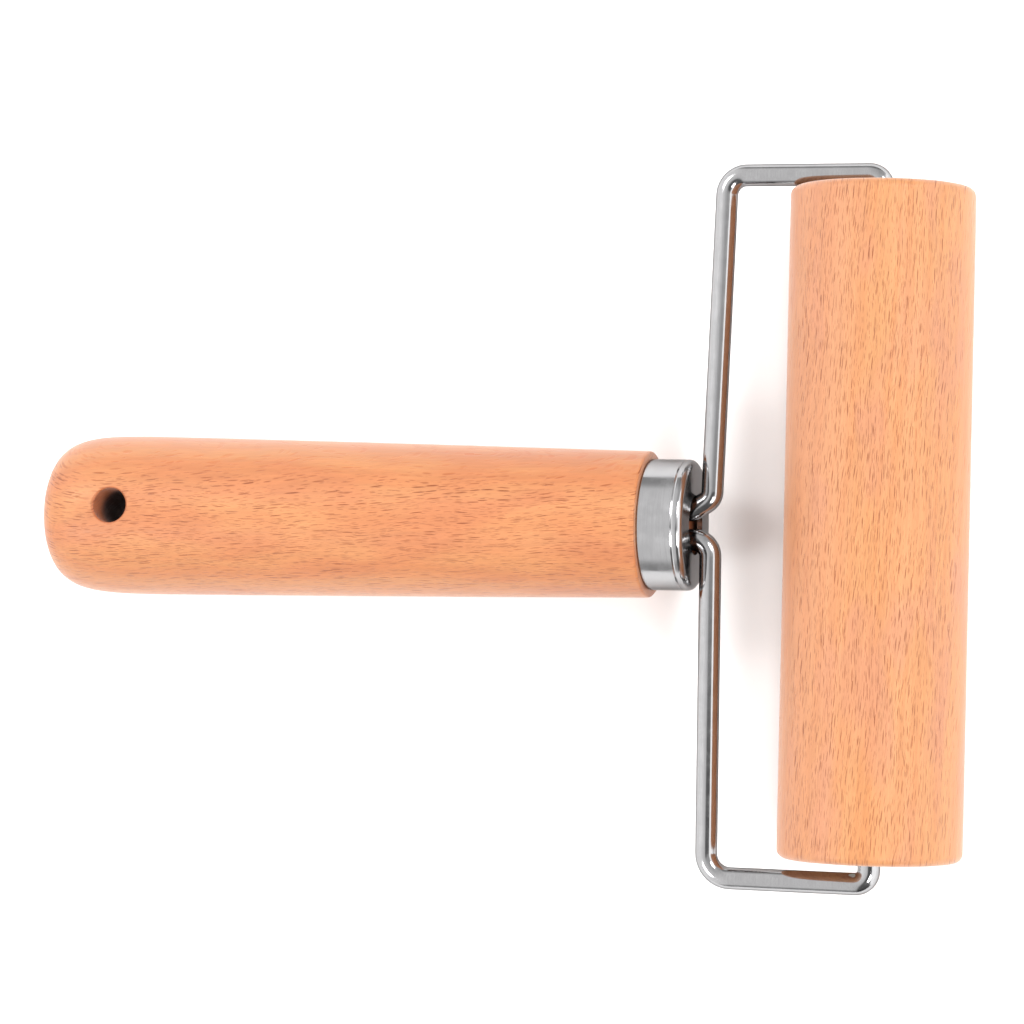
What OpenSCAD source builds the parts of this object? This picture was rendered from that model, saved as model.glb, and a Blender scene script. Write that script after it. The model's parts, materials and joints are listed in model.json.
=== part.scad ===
// Hand roller: a wooden roller that spins on two bent wires, held by a turned handle.
// X runs along the handle towards the roller, Y along the roller, Z up. The origin is on the
// surface that the roller rests on, below the middle of the whole tool.

/* [Roller] */
// Length of the roller
roller_length = 120; // [60:1:200]
// Diameter of the roller
roller_diameter = 33; // [26:0.5:50]
// Rounding of the roller's two end edges
roller_edge = 1.6; // [0.5:0.1:3]
// Free space between the roller's ends and the frame, both ends together
end_float = 2.8; // [1:0.1:4]
// Share of that space on the left side, where 0.5 centres the roller
left_float_share = 0.15; // [0.1:0.05:0.9]

/* [Bushings] */
// Outside diameter of the sleeve pressed into each end of the roller
bushing_diameter = 8; // [7:0.5:12]
// Length of each sleeve
bushing_length = 20; // [12:1:25]
// Free space all round the wire inside a sleeve
running_clearance = 0.05; // [0.02:0.01:0.1]

/* [Wire frame] */
// Diameter of the wire
wire_diameter = 4; // [3:0.1:4.5]
// Distance from the roller's axis to the arms, measured where they meet the handle's axis
arm_reach = 30.2; // [29:0.5:60]
// Distance between the two wires where they enter the handle, centre to centre
tang_spacing = 5.3; // [5:0.1:6]
// Length of wire held inside the handle
tang_length = 32; // [15:1:60]
// How far the left arm leans towards the roller, in degrees
left_lean = 1.6; // [0:0.1:3]
// How far the right arm leans towards the roller, in degrees
right_lean = 0.5; // [0:0.1:3]
// Angle between the handle's axis and the left wire where it leaves the ferrule
left_splay = 33; // [30:0.5:60]
// Bend radius of the left wire's outer corner, at the wire's centre
left_corner = 3.6; // [3:0.1:8]
// Bend radius of the right wire's outer corner, at the wire's centre
right_corner = 4.4; // [3:0.1:8]

/* [Handle] */
// Length of the wooden handle behind its shoulder
handle_length = 115.6; // [80:0.5:160]
// Diameter of the handle at its shoulder
shoulder_diameter = 26.6; // [25:0.1:32]
// How much thicker the handle grows towards its butt end
handle_swell = 3.7; // [0:0.1:6]
// Extra fullness of the handle's outline, halfway along, on each side
handle_belly = 0.12; // [0:0.02:1]
// Length of the rounded butt end
butt_length = 28.4; // [10:0.1:40]
// Squareness of the butt end, where 2 is an ellipse
butt_power = 5.1; // [2:0.1:8]
// Diameter of the hang hole
hang_hole_diameter = 6.5; // [4:0.1:8]
// Distance from the butt end to the middle of the hang hole
hang_hole_inset = 15.7; // [10:0.1:20]
// How far the hang hole is turned about the handle's axis from square to the frame, in degrees
hang_hole_turn = 6; // [-90:1:90]

/* [Ferrule] */
// Outside diameter of the ferrule
ferrule_diameter = 23.8; // [21:0.1:24.5]
// Length of the ferrule
ferrule_length = 8.3; // [6:0.1:20]
// Thickness of the ferrule's wall
ferrule_wall = 1; // [0.6:0.1:1.5]
// Outside rounding of the ferrule's front edge
ferrule_edge = 1.2; // [0.8:0.1:2]
// Depth of the fine ring pressed into the ferrule behind its front rounding
ferrule_ring_depth = 0.12; // [0.05:0.01:0.2]
// Diameter of the hole that both wires pass through
ferrule_hole_diameter = 10.8; // [10.8:0.1:14]

/* [Hidden] */
$fn = 96;

wire_r = wire_diameter / 2;
roller_r = roller_diameter / 2;
left_gap = end_float * left_float_share;

// Height of every axis above the surface that the roller lies on
axis_z = roller_r;

// Places along X
flange_gap = 0.8;
face_from_axis = arm_reach + wire_r + flange_gap;
tool_length = roller_r + face_from_axis + ferrule_length + handle_length;
roller_x = tool_length / 2 - roller_r;
arm_x = roller_x - arm_reach;
face_x = roller_x - face_from_axis;
shoulder_x = face_x - ferrule_length;
butt_x = shoulder_x - handle_length;

// Places along Y
rail_y = roller_length / 2 + end_float / 2 + wire_r;
roller_left_y = rail_y - wire_r - left_gap;
roller_right_y = roller_left_y - roller_length;
tang_y = tang_spacing / 2;

// Bend radii at the wire's centre
right_neck_bend = 3;
left_neck_bend = 3.2;
left_neck_depth = 0.5;
left_elbow_bend = 2.3;
axle_bend = 2.5;
stub_length = 18;

// The bushings and the small edges
bushing_inset = 0.3;
bushing_r = bushing_diameter / 2;
bushing_bore_r = wire_r + running_clearance;
mouth_bevel = 0.4;
tenon_gap = 1;
ferrule_back_edge = 0.3;
ferrule_ring_inset = 0.6;
ferrule_ring_width = 0.5;
shoulder_edge = 0.4;
hole_bevel = 0.5;
cut = 1;

// The wood of the handle, as a radius at a distance d from its butt end
function body_r(d) = let (u = 1 - d / handle_length)
    shoulder_diameter / 2 + handle_swell / 2 * u + 4 * handle_belly * u * (1 - u);
function butt_share(d) = d >= butt_length ? 1 : pow(1 - pow(1 - d / butt_length, butt_power), 1 / butt_power);
function handle_r(d) = body_r(d) * butt_share(d);

// Direction from point a to point b in degrees, and the turn from one direction to another
function heading(a, b) = atan2(b[1] - a[1], b[0] - a[0]);
function turn(from, to) = (to - from + 540) % 360 - 180;

// The solid made by spinning an outline, drawn as [distance along X, radius], round the X axis
module spin_x(outline) {
    rotate([0, 90, 0]) rotate_extrude() polygon([for (p = outline) [p[1], p[0]]]);
}

// The bending steps that take a wire along a route of corners: each step is a straight length,
// the angle that it then bends by, and the bend's radius at the wire's centre
function wire_steps(route, radii) =
    let (
        last = len(route) - 1,
        way = [for (i = [0:last - 1]) heading(route[i], route[i + 1])],
        bend = [for (i = [1:last - 1]) turn(way[i - 1], way[i])],
        inset = [0, for (i = [1:last - 1]) radii[i - 1] * tan(abs(bend[i - 1]) / 2), 0]
    )
    [for (i = [0:last - 1])
        concat([norm(route[i + 1] - route[i]) - inset[i] - inset[i + 1]],
            i < last - 1 ? [bend[i], radii[i]] : [])];

// Round wire that starts along +X and follows its bending steps from number i on
module bent_wire(steps, i = 0) {
    straight = steps[i][0];
    angle = steps[i][1];
    rotate([0, 90, 0]) rotate([0, 0, 90]) cylinder(r = wire_r, h = straight);
    if (i < len(steps) - 1) {
        side = sign(angle);
        bend_r = steps[i][2];
        translate([straight, side * bend_r, 0]) {
            rotate([0, 0, -side * 90]) rotate_extrude(angle = angle)
                translate([bend_r, 0]) rotate(90 + side * 90) circle(r = wire_r);
            rotate([0, 0, angle]) translate([0, -side * bend_r, 0]) bent_wire(steps, i + 1);
        }
    }
}

// Turned handle with its tenon, the two wire holes and the hang hole
module handle() {
    steps = 28;
    back = [for (i = [0:steps]) let (d = butt_length * pow(i / steps, 2)) [butt_x + d, handle_r(d)]];
    front_start = butt_x + butt_length;
    front = [for (i = [1:10]) let (x = front_start + (shoulder_x - shoulder_edge - front_start) * i / 10)
        [x, handle_r(x - butt_x)]];
    rim_r = shoulder_diameter / 2 - shoulder_edge;
    rim = [for (a = [75:-15:0]) [shoulder_x - shoulder_edge + shoulder_edge * cos(a),
        rim_r + shoulder_edge * sin(a)]];
    tenon_r = ferrule_diameter / 2 - ferrule_wall;
    tenon_x = face_x - ferrule_wall - tenon_gap;
    tenon = [[shoulder_x, tenon_r], [tenon_x, tenon_r], [tenon_x, 0]];
    hole_x = butt_x + hang_hole_inset;
    hole_r = hang_hole_diameter / 2;
    mouth_z = handle_r(hang_hole_inset);
    color("burlywood") translate([0, 0, axis_z]) difference() {
        spin_x(concat([[butt_x, 0]], back, front, rim, tenon));
        for (side = [-1, 1])
            translate([shoulder_x + ferrule_length - tang_length, side * tang_y, 0]) rotate([0, 90, 0])
                cylinder(r = wire_r, h = tang_length + cut);
        translate([hole_x, 0, 0]) rotate([-hang_hole_turn, 0, 0])
            for (flip = [0, 180])
                rotate([flip, 0, 0]) {
                    cylinder(r = hole_r, h = mouth_z + cut);
                    translate([0, 0, mouth_z - hole_bevel])
                        cylinder(r1 = hole_r, r2 = hole_r + hole_bevel + cut, h = hole_bevel + cut);
                }
    }
}

// Drawn metal cap with a fine ring, a round front edge and one hole for both wires
module ferrule() {
    r = ferrule_diameter / 2;
    back = [for (a = [180:-15:90]) [shoulder_x + ferrule_back_edge * (1 + cos(a)),
        r - ferrule_back_edge * (1 - sin(a))]];
    ring_x = face_x - ferrule_edge - ferrule_ring_inset;
    ring = [[ring_x - ferrule_ring_width / 2, r], [ring_x, r - ferrule_ring_depth],
        [ring_x + ferrule_ring_width / 2, r]];
    front = [for (a = [90:-10:0]) [face_x - ferrule_edge * (1 - cos(a)), r - ferrule_edge * (1 - sin(a))]];
    color("silver") translate([0, 0, axis_z]) difference() {
        spin_x(concat([[shoulder_x, 0]], back, ring, front, [[face_x, 0]]));
        translate([shoulder_x - cut, 0, 0]) rotate([0, 90, 0])
            cylinder(r = r - ferrule_wall, h = ferrule_length - ferrule_wall + cut);
        translate([shoulder_x, 0, 0]) rotate([0, 90, 0])
            cylinder(r = ferrule_hole_diameter / 2, h = ferrule_length + cut);
    }
}

// Left wire: it leaves the ferrule at a slant, then turns out into its arm
module left_wire() {
    lean = tan(left_lean);
    splay = tan(left_splay);
    tang = [face_x - tang_length, tang_y];
    neck = [face_x - left_neck_depth, tang_y];
    // The elbow is where the slant from the neck meets the arm's line
    elbow_x = (arm_x + lean * (neck[1] - splay * neck[0])) / (1 - lean * splay);
    elbow = [elbow_x, neck[1] + splay * (elbow_x - neck[0])];
    corner = [arm_x + lean * rail_y, rail_y];
    stub = [roller_x, roller_left_y - stub_length];
    color("gainsboro") translate([tang[0], tang[1], axis_z])
        bent_wire(wire_steps([tang, neck, elbow, corner, [roller_x, rail_y], stub],
            [left_neck_bend, left_elbow_bend, left_corner, axle_bend]));
}

// Right wire: one round bend takes it from the ferrule into its arm
module right_wire() {
    lean = tan(right_lean);
    tang = [face_x - tang_length, -tang_y];
    neck = [arm_x + lean * tang_y, -tang_y];
    corner = [arm_x + lean * rail_y, -rail_y];
    stub = [roller_x, roller_right_y + stub_length];
    color("gainsboro") translate([tang[0], tang[1], axis_z])
        bent_wire(wire_steps([tang, neck, corner, [roller_x, -rail_y], stub],
            [right_neck_bend, right_corner, axle_bend]));
}

// Turned roller with a hole in each end for its bushing
module roller() {
    edge = [for (a = [90:-10:0])
        [roller_edge - roller_edge * sin(a), roller_r - roller_edge + roller_edge * cos(a)]];
    far_edge = [for (i = [len(edge) - 1:-1:0]) [roller_length - edge[i][0], edge[i][1]]];
    profile = concat([[0, 0]], edge, far_edge, [[roller_length, 0]]);
    seat = bushing_length + bushing_inset;
    color("wheat") translate([roller_x, roller_right_y, axis_z]) rotate([0, 0, 90]) difference() {
        spin_x(profile);
        translate([-cut, 0, 0]) rotate([0, 90, 0]) cylinder(r = bushing_r, h = seat + cut);
        translate([roller_length - seat, 0, 0]) rotate([0, 90, 0]) cylinder(r = bushing_r, h = seat + cut);
    }
}

// Sleeve with a bevelled mouth at its outer end, lying along X from the mouth
module bushing() {
    difference() {
        rotate([0, 90, 0]) cylinder(r = bushing_r, h = bushing_length);
        translate([-cut, 0, 0]) rotate([0, 90, 0]) cylinder(r = bushing_bore_r, h = bushing_length + 2 * cut);
        translate([-cut, 0, 0]) rotate([0, 90, 0])
            cylinder(r1 = bushing_bore_r + mouth_bevel + cut, r2 = bushing_bore_r, h = mouth_bevel + cut);
    }
}

module left_bushing() {
    color("ivory") translate([roller_x, roller_left_y - bushing_inset, axis_z]) rotate([0, 0, -90]) bushing();
}

module right_bushing() {
    color("ivory") translate([roller_x, roller_right_y + bushing_inset, axis_z]) rotate([0, 0, 90]) bushing();
}

handle();
ferrule();
left_wire();
right_wire();
roller();
left_bushing();
right_bushing();
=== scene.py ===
"""Looks for the hand roller: beech handle and roller, polished steel ferrule and wires, nylon bushings."""

import json
import math

import bpy
from mathutils import Matrix, Vector

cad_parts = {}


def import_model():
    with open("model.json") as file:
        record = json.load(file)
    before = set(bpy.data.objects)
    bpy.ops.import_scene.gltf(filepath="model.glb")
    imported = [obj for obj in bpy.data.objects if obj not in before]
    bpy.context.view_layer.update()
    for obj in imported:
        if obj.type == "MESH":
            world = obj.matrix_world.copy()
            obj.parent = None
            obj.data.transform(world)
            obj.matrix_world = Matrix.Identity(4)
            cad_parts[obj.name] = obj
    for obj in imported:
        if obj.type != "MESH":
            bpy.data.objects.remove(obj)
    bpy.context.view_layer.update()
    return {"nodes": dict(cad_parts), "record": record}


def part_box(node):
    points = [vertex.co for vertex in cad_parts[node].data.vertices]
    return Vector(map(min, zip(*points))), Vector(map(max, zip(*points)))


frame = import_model()
MM = 0.001

# The camera, from the roller's middle: its place in millimetres and its turns in degrees.
CAMERA_OFFSET_MM = (108.9, -12.2, 618.0)
CAMERA_TURN = {"yaw": 15.94, "pitch": 1.25, "roll": 1.36}
LENS_MM = 123.05
SENSOR_MM = 36.0

# Studio brightness: the white walls on the handle's side, opposite and beyond the roller, then the shares
# left in the darker corner and low down on both sides, then each softbox, by its side along X. A softbox
# stands at this place, in metres, and at its mirror images in X and Y.
WORLD_BRIGHT = 1.77
WORLD_DIM = 0.78
WORLD_RIGHT = 2.40
DARK_CORNER = 0.22
DARK_SIDES = 0.45
SOFTBOX_WATTS = {-1: 7.2, 1: 10.3}
SOFTBOX_PLACE = (0.84, 0.62, 1.12)
SOFTBOX_SIDE = 0.42
FLOOR_HALF_SIDE = 4.0

STEEL = (0.385, 0.381, 0.385, 1.0)

# The two sorts of rays in beech, in millimetres along the fibres, through the ray and along its depth: the
# cell that holds one ray, and half of the ray's own size.
LONG_RAYS = {"cell": (2.7, 0.58, 3.4), "half": (1.50, 0.095, 2.3)}
SHORT_RAYS = {"cell": (1.6, 0.36, 2.4), "half": (0.75, 0.060, 1.5)}


# ---------------------------------------------------------------- node helpers

class Graph:
    """The node tree of a new material, or of the world, with a short call for each node used here."""

    def __init__(self, name, owner=None):
        self.owner = owner or bpy.data.materials.new(name)
        self.owner.use_nodes = True
        self.tree = self.owner.node_tree
        if owner is None:
            self.tree.nodes.clear()

    def add(self, kind, inputs=None, **settings):
        node = self.tree.nodes.new(kind)
        for key, value in settings.items():
            setattr(node, key, value)
        for key, value in (inputs or {}).items():
            self.put(node.inputs[key], value)
        return node

    def put(self, socket, value):
        if isinstance(value, bpy.types.NodeSocket):
            self.tree.links.new(value, socket)
        else:
            socket.default_value = value

    def math(self, operation, a, b=0.0, clamp=False):
        return self.add("ShaderNodeMath", {0: a, 1: b}, operation=operation, use_clamp=clamp).outputs[0]

    def scale(self, value, by):
        return self.math("MULTIPLY", value, by)

    def vector(self, operation, a, b):
        return self.add("ShaderNodeVectorMath", {0: a, 1: b}, operation=operation).outputs[0]

    def dot(self, a, b):
        return self.add("ShaderNodeVectorMath", {0: a, 1: b}, operation="DOT_PRODUCT").outputs["Value"]

    def length(self, a):
        return self.add("ShaderNodeVectorMath", {0: a}, operation="LENGTH").outputs["Value"]

    def combine(self, x, y, z):
        return self.add("ShaderNodeCombineXYZ", {"X": x, "Y": y, "Z": z}).outputs[0]

    def grey(self, value):
        return self.add("ShaderNodeCombineColor", {0: value, 1: value, 2: value}).outputs[0]

    def remap(self, value, low, high, to_low=0.0, to_high=1.0, smooth=True):
        node = self.add(
            "ShaderNodeMapRange",
            {"Value": value, "From Min": low, "From Max": high, "To Min": to_low, "To Max": to_high},
            interpolation_type="SMOOTHSTEP" if smooth else "LINEAR",
        )
        return node.outputs["Result"]

    def noise(self, vector, scale, detail=2.0, roughness=0.5):
        inputs = {"Vector": vector, "Scale": scale, "Detail": detail, "Roughness": roughness}
        return self.add("ShaderNodeTexNoise", inputs).outputs["Fac"]

    def mix(self, factor, a, b, blend="MIX"):
        node = self.add("ShaderNodeMix", data_type="RGBA", blend_type=blend)
        for socket, value in ((node.inputs[0], factor), (node.inputs[6], a), (node.inputs[7], b)):
            self.put(socket, value)
        return node.outputs[2]

    def tint(self, colour, by):
        return self.mix(1.0, colour, by, "MULTIPLY")

    def bump(self, height, distance, strength=1.0, normal=None):
        inputs = {"Height": height, "Distance": distance, "Strength": strength}
        if normal is not None:
            inputs["Normal"] = normal
        return self.add("ShaderNodeBump", inputs).outputs["Normal"]

    def surface(self, **sockets):
        names = {key.replace("_", " "): value for key, value in sockets.items()}
        shader = self.add("ShaderNodeBsdfPrincipled", names)
        output = self.add("ShaderNodeOutputMaterial")
        self.tree.links.new(shader.outputs[0], output.inputs["Surface"])
        return self.owner


def rgb(red, green, blue):
    return (red, green, blue, 1.0)


# ---------------------------------------------------------------- materials

def wood_axes(g, fibre, through):
    """Millimetres along the fibres, through the rays' thickness and along the rays' depth, with a
    slow sideways wander, and the last two directions as vectors."""
    fibre = Vector(fibre).normalized()
    through = Vector(through)
    through = (through - through.dot(fibre) * fibre).normalized()
    depth = fibre.cross(through)
    at = g.add("ShaderNodeTexCoord").outputs["Object"]
    u, v, w = (g.dot(at, axis / MM) for axis in (fibre, through, depth))
    slow = g.combine(g.scale(u, 0.05), g.scale(v, 0.10), g.scale(w, 0.10))
    wander = g.add("ShaderNodeTexNoise", {"Vector": slow, "Scale": 1.0, "Detail": 1.5}).outputs["Color"]
    shift = g.vector("MULTIPLY", g.vector("SUBTRACT", wander, (0.5, 0.5, 0.5)), (0.0, 2.4, 2.4))
    sideways = g.add("ShaderNodeSeparateXYZ", {"Vector": shift}).outputs
    return u, g.math("ADD", v, sideways[1]), g.math("ADD", w, sideways[2]), fibre, through


def grain(g, u, v, w, along, across, roughness):
    """Noise drawn out along the fibres: along and across are its steps per millimetre."""
    place = g.combine(g.scale(u, along), g.scale(v, across), g.scale(w, across))
    return g.noise(place, 1.0, 2.0, roughness)


def rays(g, u, v, w, cell, half, seed):
    """Spindle-shaped rays, one in each Voronoi cell and each with its own size and darkness: 1 at the darkest
    ray's middle, 0 outside."""
    length, width, depth = cell
    moved = g.math("ADD", g.scale(u, 1 / length), seed)
    place = g.combine(moved, g.scale(v, 1 / width), g.scale(w, 1 / depth))
    nearest = g.add("ShaderNodeTexVoronoi", {"Vector": place, "Scale": 1.0, "Randomness": 1.0})
    off = g.vector("SUBTRACT", place, nearest.outputs["Position"])
    chance = g.add("ShaderNodeSeparateColor", {"Color": nearest.outputs["Color"]}).outputs
    reach = g.vector("MULTIPLY", off, (length / half[0], width / half[1], depth / half[2]))
    size = g.remap(chance[0], 0.0, 1.0, 0.55, 1.25, smooth=False)
    darkness = g.remap(chance[1], 0.0, 1.0, 0.35, 1.0, smooth=False)
    distance = g.math("DIVIDE", g.length(reach), size)
    return g.math("MULTIPLY", g.remap(distance, 1.0, 0.50), darkness)


def beech(name, fibre, through, pale, deep, rosy, rosy_side, seed, hole=None):
    """Steamed beech. fibre is the way the grain runs and through is the way through the rays' thickness:
    the rays are short dark dashes where the surface cuts across them and soft flecks where it runs along
    them. rosy_side is where, in millimetres along through, the wood turns from rosy to golden.
    hole is a bore's middle, direction, radius and length: its side is tinted a darker end-grain brown, with
    painted shade that darkens it to nearly black deep in the bore."""
    g = Graph(name)
    u, v, w, fibre, through = wood_axes(g, fibre, through)
    long_rays = rays(g, u, v, w, **LONG_RAYS, seed=seed)
    short_rays = rays(g, u, v, w, **SHORT_RAYS, seed=seed + 40)

    # Year rings, round a heart well outside the piece.
    ring = g.length(g.combine(g.math("ADD", v, 22.0), g.math("ADD", w, 58.0), 0.0))
    rings = g.noise(g.combine(g.scale(u, 0.011), g.scale(ring, 0.62), seed), 1.0, 3.0, 0.55)
    clouds = grain(g, u, v, w, 0.035, 0.11, 0.5)
    fibres = grain(g, u, v, w, 0.22, 3.6, 0.6)
    strands = grain(g, u, v, w, 0.10, 1.0, 0.5)

    # How squarely the surface faces along the rays' thickness, and how much of it is end grain.
    normal = g.add("ShaderNodeTexCoord").outputs["Normal"]
    across = g.remap(g.math("ABSOLUTE", g.dot(normal, through)), 0.78, 0.98)
    cut_end = g.remap(g.math("ABSOLUTE", g.dot(normal, fibre)), 0.55, 1.0)

    colour = g.mix(g.remap(rings, 0.36, 0.64), pale, deep)
    side = g.remap(v, rosy_side[0], rosy_side[1], 0.6, 0.0)
    colour = g.mix(g.math("MAXIMUM", g.remap(clouds, 0.44, 0.66, 0.0, 0.85), side), colour, rosy)
    tone = g.math("MULTIPLY", g.remap(fibres, 0.25, 0.75, 0.94, 1.05), g.remap(strands, 0.3, 0.7, 0.95, 1.03))
    colour = g.tint(colour, g.grey(tone))

    strength = g.remap(across, 0.0, 1.0, 1.0, 0.75, smooth=False)
    stain = g.mix(across, rgb(0.45, 0.27, 0.13), rgb(0.95, 0.76, 0.60))
    stained = g.tint(colour, stain)
    colour = g.mix(g.math("MULTIPLY", short_rays, g.scale(strength, 0.70)), colour, stained)
    colour = g.mix(g.math("MULTIPLY", long_rays, strength), colour, stained)
    colour = g.mix(g.scale(cut_end, 0.10), colour, g.tint(colour, rgb(0.72, 0.56, 0.45)))

    if hole:
        middle, axis, radius, length = hole
        at = g.add("ShaderNodeTexCoord").outputs["Object"]
        arm = g.vector("SUBTRACT", at, middle)
        from_axis = g.length(g.vector("CROSS_PRODUCT", arm, axis))
        in_bore = g.remap(from_axis, radius + 0.45 * MM, radius + 0.05 * MM)
        depth = g.math("ABSOLUTE", g.dot(arm, axis))
        # Painted shade: the bore's colour goes from the darker end-grain tint near the mouth to nearly black
        # deeper in.
        painted_depth_shade = g.remap(depth, length / 2 - 2.2 * MM, length / 2 - 6.5 * MM)
        wall = g.mix(painted_depth_shade, g.tint(colour, rgb(0.80, 0.62, 0.50)), rgb(0.055, 0.018, 0.012))
        colour = g.mix(in_bore, colour, wall)

    height = g.math("SUBTRACT", g.scale(fibres, 0.5), g.math("ADD", long_rays, short_rays))
    roughness = g.remap(fibres, 0.2, 0.8, 0.38, 0.52)
    return g.surface(Base_Color=colour, Roughness=roughness, Normal=g.bump(height, 0.035 * MM, 0.8),
                     Sheen_Weight=0.22, Sheen_Roughness=0.4, Specular_IOR_Level=0.4)


def steel(name, roughness, marks, edge):
    """Polished stainless steel. marks is the way that its drawing or turning marks run: "Y" or "round X".
    edge is the share of light that it reflects at a grazing angle."""
    g = Graph(name)
    at = g.add("ShaderNodeTexCoord").outputs["Object"]
    stretch = {"Y": (6000.0, 250.0, 6000.0), "round X": (7000.0, 120.0, 120.0)}
    lines = g.noise(g.vector("MULTIPLY", at, stretch[marks]), 1.0, 2.0, 0.6)
    smudge = g.noise(at, 330.0, 3.0, 0.6)
    dents = g.noise(at, 150.0, 2.0, 0.5)
    rough = g.remap(smudge, 0.3, 0.7, roughness * 0.7, roughness * 1.4)
    dull = rgb(*(channel * 0.90 for channel in STEEL[:3]))
    colour = g.mix(g.remap(g.math("MULTIPLY", smudge, lines), 0.12, 0.40), dull, STEEL)
    waves = g.bump(dents, 0.02 * MM, 1.0, g.bump(lines, 0.0009 * MM))
    return g.surface(Base_Color=colour, Metallic=1.0, Roughness=rough, Normal=waves,
                     Specular_Tint=rgb(edge, edge, edge))


def nylon(name):
    """Natural nylon: off-white, a little waxy, with faint turning marks."""
    g = Graph(name)
    at = g.add("ShaderNodeTexCoord").outputs["Object"]
    mottle = g.noise(at, 900.0, 3.0)
    turned = g.noise(g.vector("MULTIPLY", at, (400.0, 5000.0, 400.0)), 1.0, 2.0)
    colour = g.mix(mottle, rgb(0.80, 0.78, 0.70), rgb(0.70, 0.67, 0.58))
    return g.surface(Base_Color=colour, Roughness=g.remap(mottle, 0.3, 0.7, 0.34, 0.5),
                     Normal=g.bump(turned, 0.02 * MM), Subsurface_Weight=0.15, Subsurface_Scale=0.002)


def dress(node, material):
    """Gives a CAD body its material and smooth shading."""
    mesh = frame["nodes"][node].data
    mesh.materials.clear()
    mesh.materials.append(material)
    mesh.shade_smooth()


# ---------------------------------------------------------------- studio

def floor():
    """A matt white floor, far wider than the picture."""
    side = FLOOR_HALF_SIDE
    mesh = bpy.data.meshes.new("floor")
    corners = [(-side, -side, 0), (side, -side, 0), (side, side, 0), (-side, side, 0)]
    mesh.from_pydata(corners, [], [(0, 1, 2, 3)])
    obj = bpy.data.objects.new("floor", mesh)
    bpy.context.scene.collection.objects.link(obj)
    g = Graph("floor_white")
    at = g.add("ShaderNodeTexCoord").outputs["Object"]
    colour = g.mix(g.noise(at, 3.0), rgb(0.90, 0.90, 0.90), rgb(0.92, 0.92, 0.92))
    mesh.materials.append(g.surface(Base_Color=colour, Roughness=0.9, Specular_IOR_Level=0.1))


def softbox(side_x, side_y):
    """A square softbox, aimed at the origin. It stands where the straight metal does not mirror it."""
    name = f"softbox_{side_x}_{side_y}"
    place = (SOFTBOX_PLACE[0] * side_x, SOFTBOX_PLACE[1] * side_y, SOFTBOX_PLACE[2])
    data = bpy.data.lights.new(name, "AREA")
    data.shape = "SQUARE"
    data.size = SOFTBOX_SIDE
    data.energy = SOFTBOX_WATTS[side_x]
    lamp = bpy.data.objects.new(name, data)
    bpy.context.scene.collection.objects.link(lamp)
    lamp.location = place
    lamp.rotation_euler = (-Vector(place)).to_track_quat("-Z", "Y").to_euler()


def world():
    """A white studio as the metal mirrors it: it dims from the handle's side to the roller's and down both
    long sides, has one darker corner behind the camera, and is brightest beyond the roller."""
    shade = bpy.data.worlds.new("studio")
    g = Graph("studio", shade)
    way = g.add("ShaderNodeSeparateXYZ", {"Vector": g.add("ShaderNodeTexCoord").outputs["Generated"]}).outputs
    light = g.remap(way["X"], -0.75, 0.30, WORLD_BRIGHT, WORLD_DIM, smooth=False)
    corner = g.math("MULTIPLY", g.remap(way["X"], -0.08, 0.08), g.remap(way["Y"], 0.06, -0.08))
    light = g.math("MULTIPLY", light, g.remap(corner, 0.0, 1.0, 1.0, DARK_CORNER))
    sides = g.remap(g.math("ABSOLUTE", way["Y"]), 0.86, 0.96, 1.0, DARK_SIDES)
    light = g.math("MULTIPLY", light, sides)
    beyond = g.remap(way["X"], 0.62, 0.72)
    strength = g.add("ShaderNodeMix", {0: beyond, 2: light, 3: WORLD_RIGHT}).outputs[0]
    g.put(g.tree.nodes["Background"].inputs["Color"], rgb(1, 1, 1))
    g.put(g.tree.nodes["Background"].inputs["Strength"], strength)
    bpy.context.scene.world = shade


def camera():
    """The camera, placed from the roller's axis."""
    low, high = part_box("roller")
    data = bpy.data.cameras.new("camera")
    data.lens, data.sensor_width = LENS_MM, SENSOR_MM
    data.clip_start, data.clip_end = 0.01, 20.0
    obj = bpy.data.objects.new("camera", data)
    bpy.context.scene.collection.objects.link(obj)
    axis = Vector(((low.x + high.x) / 2, 0.0, (low.z + high.z) / 2))
    turn = Matrix.Identity(3)
    for part, about in (("yaw", "Y"), ("pitch", "X"), ("roll", "Z")):
        turn = turn @ Matrix.Rotation(math.radians(CAMERA_TURN[part]), 3, about)
    place = axis + Vector(CAMERA_OFFSET_MM) * MM
    obj.matrix_world = Matrix.Translation(place) @ turn.to_4x4()
    bpy.context.scene.camera = obj


# ---------------------------------------------------------------- the scene

camera()
bore = next(m for m in frame["record"]["mounts"] if m["name"] == "hang_hole")
hang_hole = (bore["pos_m"], bore["axis"], bore["dims"]["r_mm"] * MM, bore["dims"]["length_mm"] * MM)
dress("handle", beech(
    "beech_handle", fibre=(1.0, 0.05, 0.0), through=(0.0, 0.883, 0.469),
    pale=rgb(0.450, 0.184, 0.069), deep=rgb(0.431, 0.160, 0.058), rosy=rgb(0.413, 0.144, 0.055),
    rosy_side=(-20.0, -12.0), seed=3.0, hole=hang_hole))
dress("roller", beech(
    "beech_roller", fibre=(0.05, 1.0, 0.0), through=(1.0, 0.0, -0.15),
    pale=rgb(0.456, 0.206, 0.083), deep=rgb(0.441, 0.181, 0.067), rosy=rgb(0.423, 0.179, 0.092),
    rosy_side=(54.0, 66.0), seed=71.0))
dress("ferrule", steel("ferrule_steel", 0.16, "round X", 0.45))
for side in ("left", "right"):
    dress(side + "_wire", steel(side + "_wire_steel", 0.12, "Y", 0.2))
    dress(side + "_bushing", nylon(side + "_bushing_nylon"))

floor()
world()
for side_x in (-1, 1):
    for side_y in (-1, 1):
        softbox(side_x, side_y)
bpy.context.scene.view_settings.view_transform = "Standard"
